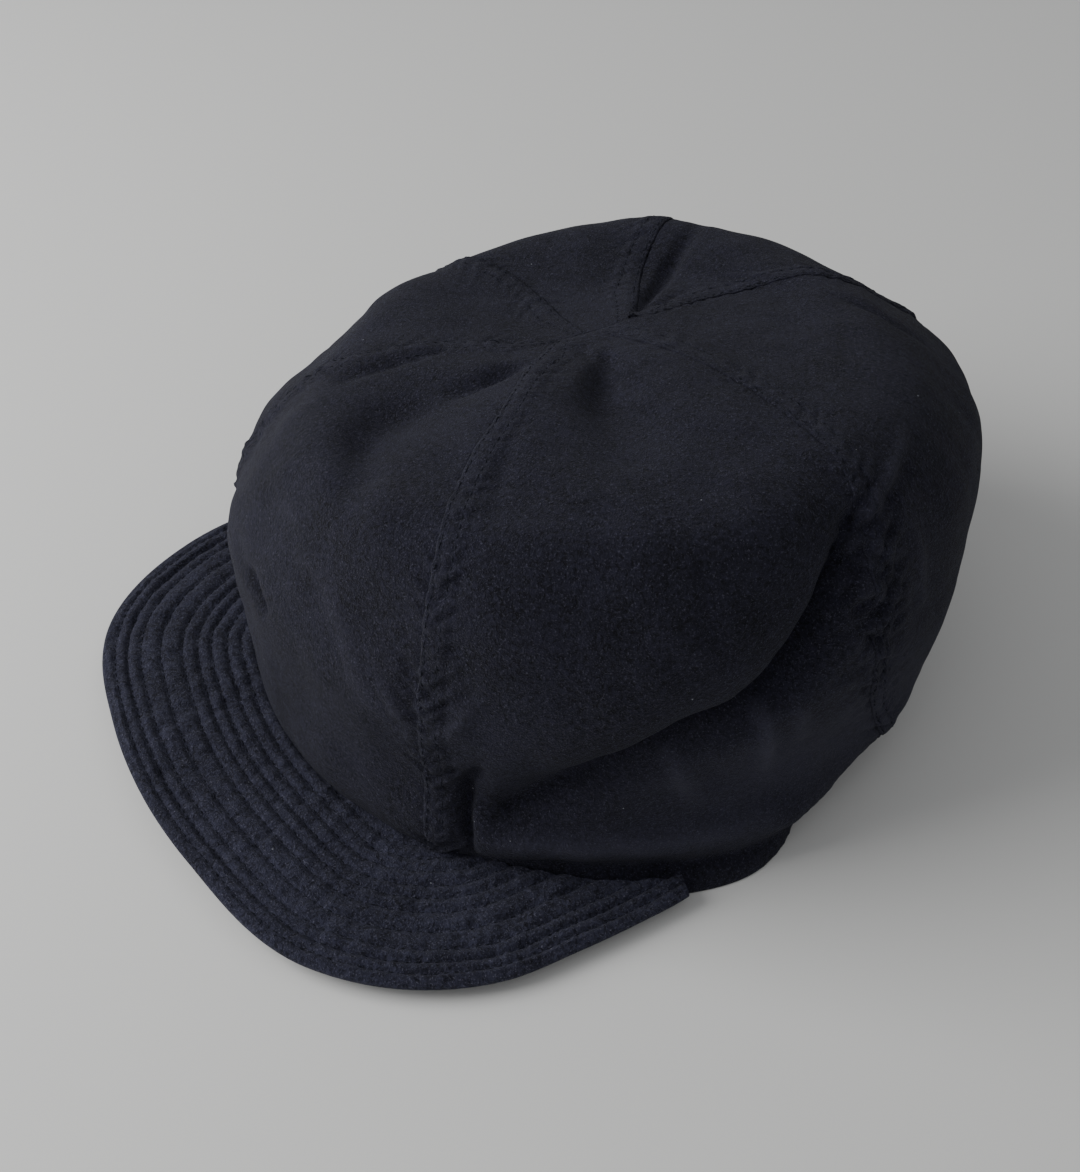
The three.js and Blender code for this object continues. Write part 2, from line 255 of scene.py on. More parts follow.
WRINKLES = {
    # the same columns as the folds
    "sharp line of the crease": [
        (50, 0.19, 1.5, 3.5), (57, 0.235, 2, 3.5), (66, 0.29, 2.5, 4), (77, 0.35, 3.5, 4.5),
        (84, 0.375, 4.5, 5), (90, 0.415, 5, 5), (95, 0.47, 4.5, 5), (99, 0.54, 4, 5),
        (102, 0.61, 2, 4),
    ],
    "slit beside the front-left seam": [
        (45, 0.28, 1.2, 2.6), (42.8, 0.235, 3.5, 2.5), (43.2, 0.157, 3, 2.2), (44.6, 0.1, 2.2, 2),
        (45, 0.07, 1, 2),
    ],
    "sharp hook at the front's edge": [
        (352, 0.385, 0.5, 3), (356, 0.372, 2.2, 3), (359.5, 0.362, 2, 3),
    ],
    "line beside the front-left seam": [
        (33.9, 0.79, 0.3, 3), (36, 0.74, 0.9, 4), (39, 0.66, 0.4, 4),
    ],
    "thin fold under the front-right seam": [
        (330, 0.7, 1.5, 5), (329, 0.76, 2.5, 4.5), (330, 0.82, 1.5, 4),
    ],
    "pucker left of the front-left seam": [
        (27.5, 0.41, -0.2, 4), (31.5, 0.365, -0.9, 3.5), (34.5, 0.32, -0.3, 3),
    ],
    "second pucker left of the front-left seam": [(31, 0.46, 0.2, 3.5), (34, 0.39, 0.9, 3.5)],
    "pucker right of the front-left seam": [
        (45, 0.42, -0.3, 4), (42, 0.37, -1, 4), (40.5, 0.33, -0.4, 3.5),
    ],
    "crease by the back-left seam": [
        (165, 0.75, 0.5, 4), (161, 0.72, 1.6, 4), (157, 0.687, 1.6, 4), (154, 0.65, 0.5, 4),
    ],
    "drape line on the front": [
        (365, 0.475, -0.3, 5), (372, 0.468, -0.5, 5), (379, 0.435, -0.6, 5), (385, 0.38, -0.6, 5),
        (390, 0.33, -0.2, 4),
    ],
    "second drape line on the front": [
        (352, 0.49, -0.3, 4), (358, 0.505, -0.6, 4), (363, 0.5, -0.2, 4),
    ],
    "short crease by the left seam": [
        (104, 0.585, 0.8, 4), (109, 0.595, 1.4, 4), (116, 0.625, 0.6, 4),
    ],
    "ridge by the left seam": [
        (107, 0.61, -0.5, 3.5), (113, 0.64, -1.4, 3.5), (120.5, 0.667, -0.8, 3.5),
    ],
    "dark streak on the back left": [
        (108, 0.53, 0.4, 3.5), (108.8, 0.48, 1.4, 4), (110.2, 0.39, 1.3, 4),
    ],
    "streak on the back left": [
        (112.2, 0.555, -0.4, 4), (114, 0.49, -1.1, 4), (116, 0.42, -0.9, 4),
    ],
    "wrinkle on the bulge": [(75.8, 0.6, 0.2, 4), (76.8, 0.5, 0.7, 4), (80, 0.455, 0.4, 4)],
    "wrinkle in the roll": [
        (86.5, 0.385, -0.6, 4), (88, 0.35, -2, 4), (89.5, 0.3, -2, 4.5), (92.5, 0.215, -0.4, 5),
    ],
    "second wrinkle in the roll": [
        (92, 0.385, -0.3, 4), (93.5, 0.345, -1.3, 4), (95.5, 0.3, -0.8, 5),
    ],
    "third wrinkle in the roll": [
        (73.5, 0.32, -0.3, 4), (75.5, 0.285, -1.5, 4), (78, 0.235, -1.2, 4.5), (80, 0.2, -0.3, 5),
    ],
    "hollow beside the third wrinkle": [
        (78.5, 0.335, 0.3, 3.5), (80, 0.3, 1.6, 3.5), (82.5, 0.25, 1.3, 4), (84, 0.21, 0.2, 4),
    ],
    "lower edge of the roll": [
        (48, 0.12, -0.2, 5), (53, 0.12, -1.2, 6), (65, 0.115, -1.5, 7), (81, 0.105, -1.5, 7),
        (91, 0.11, -0.6, 6),
    ],
    "pucker below the top": [(24, 0.965, 0.7, 3), (43, 0.95, 0.9, 3)],
    "second pucker below the top": [
        (62, 0.965, 0.5, 2.5), (66, 0.945, 1.2, 3), (71.6, 0.891, 0.7, 3),
    ],
    "wedge by the back seam": [
        (207.5, 0.935, 0.8, 3), (198, 0.916, 1.6, 3.5), (198, 0.876, 0.4, 4),
    ],
}
print(len(SECTIONS), "sections,", len(SEAMS), "seams,", len(FOLDS), "folds,", len(WRINKLES), "wrinkles")

# %% [markdown]
# ## From tables to cloth
# A smooth curve runs through each column of the tables, and the same kind of curve closes the ring
# round the head. A fold is pressed into that smooth form by how near a point is to the fold's chain.
# Cloth that has been worn is never quite smooth either, so a few crossing waves of several lengths
# add the slight unevenness of a washed cap. Sculpting would do all this by hand, but then the solid
# part and the cloth would drift apart.


# %% Surface functions
def curve(place, places, values):
    """A smooth curve through a table's rows. Its slope at a row is that of a parabola through three rows."""
    place = np.asarray(place, float)
    places = np.asarray(places, float)
    values = np.asarray(values, float)
    flat = values.ndim == 1
    if flat:
        values = values[:, None]
    steps = np.diff(places)[:, None]
    rises = np.diff(values, axis=0) / steps
    slopes = np.empty_like(values)
    slopes[0], slopes[-1] = rises[0], rises[-1]
    slopes[1:-1] = (steps[:-1] * rises[1:] + steps[1:] * rises[:-1]) / (steps[:-1] + steps[1:])
    row = np.clip(np.searchsorted(places, place, side="right") - 1, 0, len(places) - 2)
    step = steps[row]
    t = ((place - places[row]) / step[..., 0])[..., None]
    rest = 1.0 - t
    result = values[row] * (1 + 2 * t) * rest**2 + values[row + 1] * (3 - 2 * t) * t**2
    result = result + step * t * rest * (slopes[row] * rest - slopes[row + 1] * t)
    return result[..., 0] if flat else result


def ring(turn, reaches):
    """The same kind of curve closed round the cap, through its eight reaches."""
    count = reaches.shape[-1]
    place = np.mod(turn, 360.0) / REACH_STEP
    first = np.floor(place).astype(int) % count
    t = place - np.floor(place)
    before, start, end, after = (
        np.take_along_axis(reaches, ((first + k) % count)[..., None], -1)[..., 0] for k in (-1, 0, 1, 2)
    )
    slope_start, slope_end = (end - before) / 2, (after - start) / 2
    rest = 1.0 - t
    ends = start * (1 + 2 * t) * rest**2 + end * (3 - 2 * t) * t**2
    return ends + t * rest * (slope_start * rest - slope_end * t)


def form(turn, at):
    """The crown's smooth form, in pattern millimetres."""
    turn, at = np.broadcast_arrays(np.asarray(turn, float), np.asarray(at, float))
    rows = curve(at, SECTIONS[:, 0], SECTIONS[:, 1:])
    reach = ring(turn, rows[..., 5:])
    sine, cosine = np.sin(np.radians(turn)), np.cos(np.radians(turn))
    return np.stack(
        [
            rows[..., 3] + reach * sine,
            rows[..., 4] - reach * cosine,
            rows[..., 0] + rows[..., 1] * cosine + rows[..., 2] * sine,
        ],
        axis=-1,
    )


def outward(points):
    """The outward direction at each point of a grid that runs up by rows and round by columns."""
    across = np.gradient(points, axis=1)
    up = np.gradient(points, axis=0)
    away = np.cross(across, up)
    return away / (np.linalg.norm(away, axis=-1, keepdims=True) + 1e-12)


FOLD_LINKS = 5  # straight links between two stations of a fold
FOLD_FADE = 1.5  # how fast a fold fades across its width


def fold_chain(stations):
    """A fold as straight links on the smooth form, a few between two stations."""
    links = []
    shares = np.linspace(0.0, 1.0, FOLD_LINKS + 1)
    for this, after in zip(stations, stations[1:]):
        turns, ats, depths, widths = (start + (end - start) * shares for start, end in zip(this, after))
        points = form(turns, ats)
        for k in range(FOLD_LINKS):
            links.append((points[k], points[k + 1], depths[k : k + 2], widths[k : k + 2]))
    return links


def fold_depth(points, chains):
    """How deep the folds press in at each point: within one fold the deepest link, and folds add up."""
    total = np.zeros(points.shape[:-1])
    for links in chains:
        deepest = np.zeros_like(total)
        for start, end, depths, widths in links:
            along = end - start
            share = np.clip((points - start) @ along / (along @ along), 0.0, 1.0)
            distance = np.linalg.norm(points - start - share[..., None] * along, axis=-1)
            width = widths[0] + (widths[1] - widths[0]) * share
            depth = depths[0] + (depths[1] - depths[0]) * share
            here = depth * np.exp(-((FOLD_FADE * distance / width) ** 2))
            deepest = np.where(np.abs(here) > np.abs(deepest), here, deepest)
        total += deepest
    return total


WAVES = 18


def unevenness(points, size, seed):
    """Crossing waves about as long as size, with a height of about one."""
    chance = np.random.default_rng(seed)
    total = np.zeros(points.shape[:-1])
    for _ in range(WAVES):
        way = chance.normal(size=3)
        way /= np.linalg.norm(way) * size * chance.uniform(0.7, 1.6)
        total += np.sin(2 * np.pi * (points @ way + chance.uniform()))
    return total * math.sqrt(2.0 / WAVES)


def ease(value, start, end):
    """From 0 at start to 1 at end, softly."""
    t = np.clip((value - start) / (end - start), 0.0, 1.0)
    return t * t * (3 - 2 * t)


FOLD_CHAINS = [fold_chain(stations) for stations in FOLDS.values()]
WRINKLE_CHAINS = [fold_chain(stations) for stations in WRINKLES.values()]
print("smooth form at the front, belly height:", form(0.0, 0.38).round(1))

# %% [markdown]
# ## The felled seams
# In a felled seam the edge of one panel is folded over the other and sewn down with two rows of
# stitches, so a raised band 7 mm wide runs along every seam, with a folded edge on one side. The
# thread has drawn the cloth up in the wash, which makes slanting puckers to both sides of the band and
# short ones at each row of stitches. The band belongs to the panel that it lies on, and the next
# panel's edge runs under it.

# %% Relief of a seam
SEAM_BAND = 7.0
SEAM_RISE = 0.65
STITCH_ROWS = (1.3, 6.0)  # the two rows' distances from the folded edge
STITCH_PITCH = 3.1
TUCK_UNDER = 1.6  # how far a panel's edge runs under the next one's band
PUCKER_PITCH = 7.0
PUCKER_HEIGHT = 0.8
PUCKER_REACH = 8.5  # how far to both sides of the band the puckers fade
PUCKER_SLANT = 0.8
ROW_PUCKER_PITCH = 4.4
ROW_PUCKER_HEIGHT = 0.55
ROW_PUCKER_REACH = 1.3
ROW_PUCKER_SLANT = 0.6


def wave(along, length, start=0.0):
    """A plain wave along a seam."""
    return np.sin(2 * np.pi * along / length + start)


def pucker_waves(along, number, pitch):
    """Uneven ripples along a seam, with a height of about one. Each seam's number gives it other ones."""
    drift = 1.2 * wave(along, 23.0, 1.7 * number) + 0.8 * wave(along, 9.7, number)
    strength = 0.65 + 0.35 * wave(along, 31.0, 2.3 * number)
    return strength * wave(along, pitch, drift)


def seam_relief(across, along, number, pull):
    """Height that a felled seam adds. across counts from the folded edge, with a minus on the other panel.
    pull is how strongly the thread puckers the cloth."""
    band = ease(across, -0.5, 0.9) * (1.0 - ease(across, SEAM_BAND - 0.5, SEAM_BAND + 2.5))
    height = SEAM_RISE * band
    aside = np.abs(across - 0.5 * SEAM_BAND)
    spread = np.exp(-((aside / PUCKER_REACH) ** 2))
    slanting = pucker_waves(along - PUCKER_SLANT * aside, number, PUCKER_PITCH)
    height += PUCKER_HEIGHT * pull * spread * slanting
    for row in STITCH_ROWS:
        near = np.exp(-(((across - row) / ROW_PUCKER_REACH) ** 2))
        short = pucker_waves(along - ROW_PUCKER_SLANT * across, number + 2, ROW_PUCKER_PITCH)
        height += ROW_PUCKER_HEIGHT * near * (pull * short - 0.5)
    return height


middle_height = float(seam_relief(np.array(SEAM_BAND / 2), np.array(0.0), 0, 1.0))
print("a seam stands out by", round(middle_height, 2), "mm at its middle")

# %% [markdown]
# ## Gathers beside two seams
# Where the crown has slumped, more cloth is bunched up beside the left seam and a little beside the
# front-left one than the seam can take in straight. It stands there in small irregular lumps, which
# crossing waves of a short length give, strong at the middle of the place and fading all round it.

# %% Gathers
GATHERS = {
    # the middle and the half length as shares of the way up, and how high the lumps stand
    "left_seam": (0.46, 0.17, 0.95),
    "front_left_seam": (0.36, 0.16, 0.3),
}
GATHER_REACH = 11.0  # how far from the seam they fade
GATHER_SIZE = 6.5
GATHER_SEED = 21


def gather_relief(name, across, at, rumple):
    """Height of the bunched cloth beside a seam."""
    if name not in GATHERS:
        return 0.0
    middle, length, high = GATHERS[name]
    upwards = np.exp(-(((at - middle) / length) ** 2))
    sideways = np.exp(-(((across - SEAM_BAND / 2) / GATHER_REACH) ** 2))
    near = upwards * sideways
    return high * near * rumple


print("gathers beside", ", ".join(GATHERS))

# %% [markdown]
# ## The cap's cloth
# The real cap is made of brushed navy wool, a woven cloth whose face has been raised into a short
# fuzz. The fuzz hides the weave, scatters light at grazing angles and catches pale lint. An image of
# the cloth would need an even layout over every fold, so the cloth is made of noise in the cap's own
# millimetres instead: clumps of fibre and wide clouds where the nap lies another way mix a dark and
# a lighter dye, single worn fibres show over them, and clumps and fibres also give the bump.

# %% Brushed navy wool
NAP_PER_METRE = 720.0  # fibre clumps, about 1.4 mm apart
FUZZ_PER_METRE = 1700.0  # single fibres are finer than the render shows, so they are drawn 0.6 mm apart
CLOUD_PER_METRE = 45.0  # uneven dye and lay of the nap, in patches of about 20 mm
CLOUD_SHARE = 0.25
DYE_RANGE = (0.37, 0.63)  # noise values where the dark and the light dye are reached
FIBRE_RANGE = (0.56, 0.74)  # and where a worn fibre starts to show and shows fully
LINT_PER_METRE = 210.0
LINT_RADIUS = 0.055  # as a share of the distance between two specks
LINT_RARITY = 0.93  # the share of places that stay clean
LINT_COLOUR = "#84868f"
SHEEN_COLOUR = "#b4b6c4"


def set_stops(ramp, places, colours):
    """Moves a ramp's two stops to their places and gives them their colours."""
    for stop, position, colour in zip(ramp.color_ramp.elements, places, colours):
        stop.position = position
        stop.color = linear(colour)


def brushed_wool(name, dark, light, worn_and_lit, relief):
    """Brushed wool, matt with a faint sheen. relief is how deep the fuzz looks, in metres."""
    cloth = new_material(name)
    place = add_node(cloth, "ShaderNodeTexCoord").outputs["Object"]
    nap, fuzz, cloud = (
        add_node(cloth, "ShaderNodeTexNoise", values=values, links={"Vector": place}).outputs["Fac"]
        for values in (
            {"Scale": NAP_PER_METRE, "Detail": 4.0, "Roughness": 0.65, "Distortion": 0.6},
            {"Scale": FUZZ_PER_METRE, "Detail": 3.0, "Roughness": 0.7},
            {"Scale": CLOUD_PER_METRE, "Detail": 5.0, "Roughness": 0.6},
        )
    )
    tone = add_node(
        cloth,
        "ShaderNodeMix",
        settings={"data_type": "FLOAT"},
        values={"Factor": CLOUD_SHARE},
        links={"A": nap, "B": cloud},
    )
    dye = add_node(cloth, "ShaderNodeValToRGB", links={"Fac": tone.outputs["Result"]})
    fibre = add_node(cloth, "ShaderNodeValToRGB", links={"Fac": fuzz})
    set_stops(dye, DYE_RANGE, (dark, light))
    set_stops(fibre, FIBRE_RANGE, ("#000000", "#ffffff"))
    # The share of the lighter dye is written on the cloth's own points: rubbed-off dye on the seams and
    # ridges, and painted light on the roll over the hem.
    wear_and_painted_light = add_node(cloth, "ShaderNodeAttribute", settings={"attribute_name": "wear_and_painted_light"})
    # A speck of lint shows only in the middle of a few of the cells.
    lint = add_node(
        cloth,
        "ShaderNodeTexVoronoi",
        values={"Scale": LINT_PER_METRE, "Randomness": 1.0},
        links={"Vector": place},
    )
    cell = add_node(cloth, "ShaderNodeSeparateColor", links={"Color": lint.outputs["Color"]})
    middle_of_cell = add_node(
        cloth,
        "ShaderNodeMath",
        settings={"operation": "LESS_THAN"},
        values={1: LINT_RADIUS},
        links={0: lint.outputs["Distance"]},
    )
    few_cells = add_node(
        cloth,
        "ShaderNodeMath",
        settings={"operation": "GREATER_THAN"},
        values={1: LINT_RARITY},
        links={0: cell.outputs[0]},
    )
    speck = add_node(
        cloth,
        "ShaderNodeMath",
        settings={"operation": "MULTIPLY"},
        links={0: middle_of_cell.outputs["Value"], 1: few_cells.outputs["Value"]},
    )
    colour = dye.outputs["Color"]
    for share, over in (
        (fibre.outputs["Color"], worn_and_lit),
        (wear_and_painted_light.outputs["Fac"], worn_and_lit),
        (speck.outputs["Value"], LINT_COLOUR),
    ):
        layer = add_node(
            cloth, "ShaderNodeMix", settings={"data_type": "RGBA"}, links={"Factor": share, "A": colour}
        )
        layer.inputs["B"].default_value = linear(over)
        colour = layer.outputs["Result"]
    heights = add_node(cloth, "ShaderNodeMath", settings={"operation": "ADD"}, links={0: nap, 1: fuzz})
    bump = add_node(
        cloth,
        "ShaderNodeBump",
        values={"Strength": 0.9, "Distance": relief},
        links={"Height": heights.outputs["Value"]},
    )
    shader = add_node(
        cloth,
        "ShaderNodeBsdfPrincipled",
        values={
            "Roughness": 0.92,
            "Specular IOR Level": 0.18,
            "Sheen Weight": 0.1,
            "Sheen Roughness": 0.45,
            "Sheen Tint": linear(SHEEN_COLOUR),
        },
        links={"Base Color": colour, "Normal": bump.outputs["Normal"]},
    )
    add_node(cloth, "ShaderNodeOutputMaterial", links={"Surface": shader.outputs["BSDF"]})
    return cloth


crown_cloth = brushed_wool("brushed_navy_wool_crown", "#06060e", "#222231", "#4b4b5b", 0.0011)
print("made", crown_cloth.name, "with", len(crown_cloth.node_tree.nodes), "nodes")

# %% [markdown]
# ## Crown panels
# A panel is one gore of cloth, cut wide at the belly and narrow at both ends. A flat grid stands for
# the cut cloth, and each of its points is moved to where the slumped cap holds it, which is the way
# to get folds that run on from one panel to the next. A simulation would give softer chance folds,
# but not the ones in the photograph. The grid is finer beside the panel's own seam, where the band
# and its puckers are. This cell lays out each panel's strips between its two seams.

# %% Where the panels' strips run
PANELS = {
    # first seam, second seam, strips round
    "panel_front": ("front_right_seam", "front_left_seam", 116),
    "panel_front_left": ("front_left_seam", "left_seam", 200),
    "panel_back_left": ("left_seam", "back_left_seam", 104),
    "panel_back": ("back_left_seam", "back_seam", 96),
    "panel_back_right": ("back_seam", "right_seam", 96),
    "panel_front_right": ("right_seam", "front_right_seam", 96),
}
ROWS_UP = 210
TOP_AT = 0.9985
AT = np.linspace(0.0, TOP_AT, ROWS_UP + 1)
BAND_ZONE = 10.0  # width of the finer strips beside the first seam
BAND_STRIPS = 16.0
CAP_MIDDLE = curve(AT, SECTIONS[:, 0], SECTIONS[:, 4:6])


def seam_turn(name):
    """Degrees round of a seam at each row."""
    rounds = SEAMS[name]
    return curve(AT, SEAM_HEIGHTS, rounds + rounds[-1:])


def length_along(line):
    """Millimetres along a line of points from its start."""
    return np.concatenate([[0.0], np.cumsum(np.linalg.norm(np.diff(line, axis=0), axis=1))])


def panel_layout(name):
    """For each row the first seam's turn, the turn to the second seam, the width and the strips' shares."""
    first_name, second_name, strips = PANELS[name]
    first = seam_turn(first_name)
    turn = np.mod(seam_turn(second_name) - first, 360.0)
    middle = form(first + turn / 2, AT)
    reach = np.hypot(middle[:, 0] - CAP_MIDDLE[:, 0], middle[:, 1] - CAP_MIDDLE[:, 1])
    width = np.radians(turn) * reach
    # Towards the top the panel narrows, so the band's zone and the tuck narrow with it.
    zone = np.minimum(BAND_ZONE, 0.35 * width) / width
    end = 1.0 + np.minimum(TUCK_UNDER, 0.3 * width) / width
    place = np.linspace(0.0, 1.0, strips + 1)
    fine = BAND_STRIPS / strips
    far = (place - fine) / (1.0 - fine)
    in_zone = zone[:, None] * (place / fine)
    beyond_zone = zone[:, None] + (end - zone)[:, None] * far
    share = np.where(place <= fine, in_zone, beyond_zone)
    return first, turn, width, share


print(len(PANELS), "panels of", ROWS_UP, "rows, strips:", [row[2] for row in PANELS.values()])

# %% [markdown]
# The seams don't meet in one point at the top: one long seam runs on over it, and the others stop at
# that seam's band. So each panel's end is drawn out to a short stretch of the long seam, and the two
# panels that it lies on carry its raised band.

# %% The seams' ends at the top
TOP_ENDS = {
    # millimetres from the top's own point
    "front_left_seam": (-5.8, -12.2),
    "left_seam": (-4, -0.7),
    "back_left_seam": (-2.1, 10.8),
    "back_seam": (-2.1, 10.8),
    "right_seam": (-4.3, -3),
    "front_right_seam": (-5.8, -12.2),
}
TOP_FROM = 0.8
PANELS_WITH_TOP_BAND = ("panel_front_left", "panel_back_left")
TOP_BAND_RISE = 0.5
TOP_BAND_EDGE = (6.0, 9.0)  # from its middle to the upper and the lower end of its slope


def drawn_to_top(name, share):
    """How far each point of a panel moves sideways towards its stretch of the long seam."""
    start, end = (np.array(TOP_ENDS[seam]) for seam in PANELS[name][:2])
    stretch = start + (end - start) * np.clip(share, 0.0, 1.0)[..., None]
    return ease(AT, TOP_FROM, 1.0)[:, None, None] * stretch


def top_band(points):
    """Height of the long seam's band where it runs over the top."""
    start = SECTIONS[-1, 4:6] + np.array(TOP_ENDS["front_left_seam"])
    along = np.array(TOP_ENDS["back_left_seam"]) - np.array(TOP_ENDS["front_left_seam"])
    share = np.clip((points[..., :2] - start) @ along / (along @ along), 0.0, 1.0)
    distance = np.linalg.norm(points[..., :2] - start - share[..., None] * along, axis=-1)
    return TOP_BAND_RISE * (1.0 - ease(distance, *TOP_BAND_EDGE))


print("the long seam runs from", TOP_ENDS["front_left_seam"], "to", TOP_ENDS["back_left_seam"])

# %% [markdown]
# ## Relief, wear, painted light and the flat cut
# On top of its folds a panel gets the slack waves of washed cloth, its two seams, the gathers beside
# them and the band over the top. Over the crown's top the thread pulls less, because the cloth lies
# flatter there. Dye wears off where cloth is rubbed: on the seams and on the ridges of the wrinkles.
# The roll over the hem gets the same lighter dye as painted light, because the roll faces up into the
# light. The flat size of each gore is worked out too, from the smooth form's widths and length,
# because the photograph shows no flat panel.

# %% Relief, wear, painted light and cut of a panel
SLACK = ((0.55, 46.0, 3), (0.16, 15.0, 5))  # height, length of the waves, seed
SLACK_FULL_AT = 0.06  # the hem lies flat, so the slack and the seams' relief begin above it
SEAMS_FULL_AT = 0.02
TOP_CALM = (0.55, 0.5, 0.75)  # how much less the thread pulls, and from where to where up the crown
TUCK_DROP = 0.5  # the edge that is tucked under the next panel's band lies lower
NARROW_PANEL = 22.0  # where a panel is narrower than this, its seams are drawn narrower too
ROLL_PAINTED_LIGHT = (0.26, 100.0, 32.0, 0.2, 0.13)  # painted light on the roll over the hem, as a lighter dye: share, then the place and half size round and up
SEAM_WEAR = 0.08
RIDGE_WEAR = 0.16
SEAM_NUMBERS = {seam: k for k, seam in enumerate(SEAMS)}


def seams_relief(name, points, share, width, narrow):
    """Height that a panel's two seams and their gathers add, and the distance from the first one."""
    at = AT[:, None]
    pull = 1.0 - TOP_CALM[0] * ease(at, TOP_CALM[1], TOP_CALM[2])
    across_first = share * width[:, None]
    across_second = (share - 1.0) * width[:, None]
    sides = tuple(zip(PANELS[name][:2], (across_first, across_second)))
    heights = []
    for seam, across in sides:
        along = length_along(form(seam_turn(seam), AT))[:, None]
        heights.append(seam_relief(across / narrow, along, SEAM_NUMBERS[seam], pull))
    height, beyond = heights
    height += np.where(across_second > 0.0, beyond - TUCK_DROP, beyond)
    height *= ease(at, 0.0, SEAMS_FULL_AT) * narrow
    rumple = unevenness(points, GATHER_SIZE, GATHER_SEED)
    for seam, across in sides:
        height += gather_relief(seam, across, at, rumple)
    return height, across_first


def panel_wear_and_painted_light(turns, seams_height, wrinkle):
    """The share of the lighter dye at each point: rubbed-off dye on the seams and the wrinkles' ridges, and
    painted light on the roll over the hem.
    """
    most, middle_turn, half_turn, middle_at, half_at = ROLL_PAINTED_LIGHT
    aside = (np.mod(turns, 360.0) - middle_turn) / half_turn
    # painted light: the roll over the hem faces up into the light, so its dye is made lighter here
    roll = np.exp(-(aside**2)) * np.exp(-(((AT[:, None] - middle_at) / half_at) ** 2))
    ridges = RIDGE_WEAR * np.clip(-wrinkle, 0.0, 2.0)
    return most * roll + SEAM_WEAR * np.clip(seams_height, 0.0, 1.5) + ridges


def panel_cut(first, turn, width):
    """Width, length and area of the panel's flat cloth, in millimetres."""
    middle = form(first + turn / 2, AT)
    steps = np.linalg.norm(np.diff(middle, axis=0), axis=1)
    cut_width = width + TUCK_UNDER
    return cut_width.max(), steps.sum(), float(((cut_width[1:] + cut_width[:-1]) / 2 * steps).sum())


def panel_grid(name):
    """A panel's outer face, each point's distance from the first seam, and its narrowing, its wear and
    painted light, and its cut.
    """
    first, turn, width, share = panel_layout(name)
    turns = first[:, None] + turn[:, None] * share
    points = form(turns, AT[:, None])
    points[..., :2] += drawn_to_top(name, share)
    wrinkle = fold_depth(points, WRINKLE_CHAINS)
    move = outward(points) * (fold_depth(points, FOLD_CHAINS) + wrinkle)[..., None]
    move[..., 2] *= np.minimum(AT / HEM_AT, 1.0)[:, None]
    points = points - move
    narrow = np.minimum(1.0, width / NARROW_PANEL)[:, None]
    height = sum(high * unevenness(points, size, seed) for high, size, seed in SLACK)
    height *= ease(AT, 0.0, SLACK_FULL_AT)[:, None]
    seams_height, across_first = seams_relief(name, points, share, width, narrow)
    height += seams_height
    if name in PANELS_WITH_TOP_BAND:
        height += top_band(points)
    points = points + outward(points) * height[..., None]
    points[0, :, 2] = 0.0
    points[:, :, 2] = np.maximum(points[:, :, 2], 0.0)
    wear_and_painted_light = panel_wear_and_painted_light(turns, seams_height, wrinkle)
    return points, across_first, narrow, wear_and_painted_light, panel_cut(first, turn, width)


front_cut = panel_cut(*panel_layout("panel_front")[:3])
print("flat cut of the front panel:", [round(value) for value in front_cut])

# %% [markdown]
# ## From a grid to cloth
# One function makes a grid and puts its points in their places, for the panels here and for the
# visor's skin later. A panel's grid also gets its wear and the painted light on its roll as an
# attribute of its points, and Solidify gives the cloth its thickness, inwards, so that the outer face
# stays where the table has it.

# %% Make the six panels
CLOTH_THICKNESS = 1.5


def placed_grid(name, points):
    """A mesh grid with each point moved to its place, and the row and column of each."""
    rows, columns = points.shape[:2]
    bpy.ops.object.select_all(action="DESELECT")
    bpy.ops.mesh.primitive_grid_add(x_subdivisions=columns - 1, y_subdivisions=rows - 1, size=1.0)
    piece = bpy.context.object
    piece.name = piece.data.name = name
    flat = np.empty(len(piece.data.vertices) * 3)
    piece.data.vertices.foreach_get("co", flat)
    flat = flat.reshape(-1, 3)
    column = np.rint((flat[:, 0] + 0.5) * (columns - 1)).astype(int)
    row = np.rint((flat[:, 1] + 0.5) * (rows - 1)).astype(int)
    piece.data.vertices.foreach_set("co", to_metres(points[row, column]).ravel())
    piece.data.update()
    return piece, row, column


def panel_from_grid(name, points, wear_and_painted_light):
    """A panel's cloth with its wear and painted light, and its thickness."""
    cloth, row, column = placed_grid(name, points)
    worn_and_lit = cloth.data.attributes.new("wear_and_painted_light", "FLOAT", "POINT")
    worn_and_lit.data.foreach_set("value", wear_and_painted_light[row, column].astype(np.float32))
    wall = cloth.modifiers.new("wall", "SOLIDIFY")
    wall.thickness = CLOTH_THICKNESS / 1000.0
    wall.offset = -1.0
    bpy.ops.object.modifier_apply(modifier=wall.name)
    bpy.ops.object.shade_smooth()
    cloth.data.materials.clear()
    cloth.data.materials.append(crown_cloth)
    return cloth


panel_faces = {}
for panel_name in PANELS:
    panel_points, across, narrow, wear_and_painted_light, (cut_width, cut_length, cut_area) = panel_grid(panel_name)
    panel_faces[panel_name] = (panel_points, across, narrow)
    panel = panel_from_grid("cloth_" + panel_name, panel_points, wear_and_painted_light)
    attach(panel, "root")
    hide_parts(panel_name)
    print(panel.name, "cut:", round(cut_width), "by", round(cut_length), "mm,", round(cut_area / 100), "cm2")

# %% [markdown]
# ## Stitches
# Each stitch is a short piece of thread that dips into the cloth at both ends. One stitch is modelled
# from a small cylinder with its ends drawn in, and then copied along every row, so the hundreds of
# copies have only a few faces each. All the stitches of one seam are one piece.

# %% Thread and stitch
PLY_PER_METRE = 1900.0  # the thread's twist
THREAD_SHADE = "#0b0c11"
THREAD_RADIUS = 0.24
STITCH_LENGTH = 2.3
STITCH_STRAIGHT = 0.4  # half the length of the straight middle
END_SLIMMING = 0.45  # how much thinner the ends are
END_DIP = 0.28  # how deep they go into the cloth


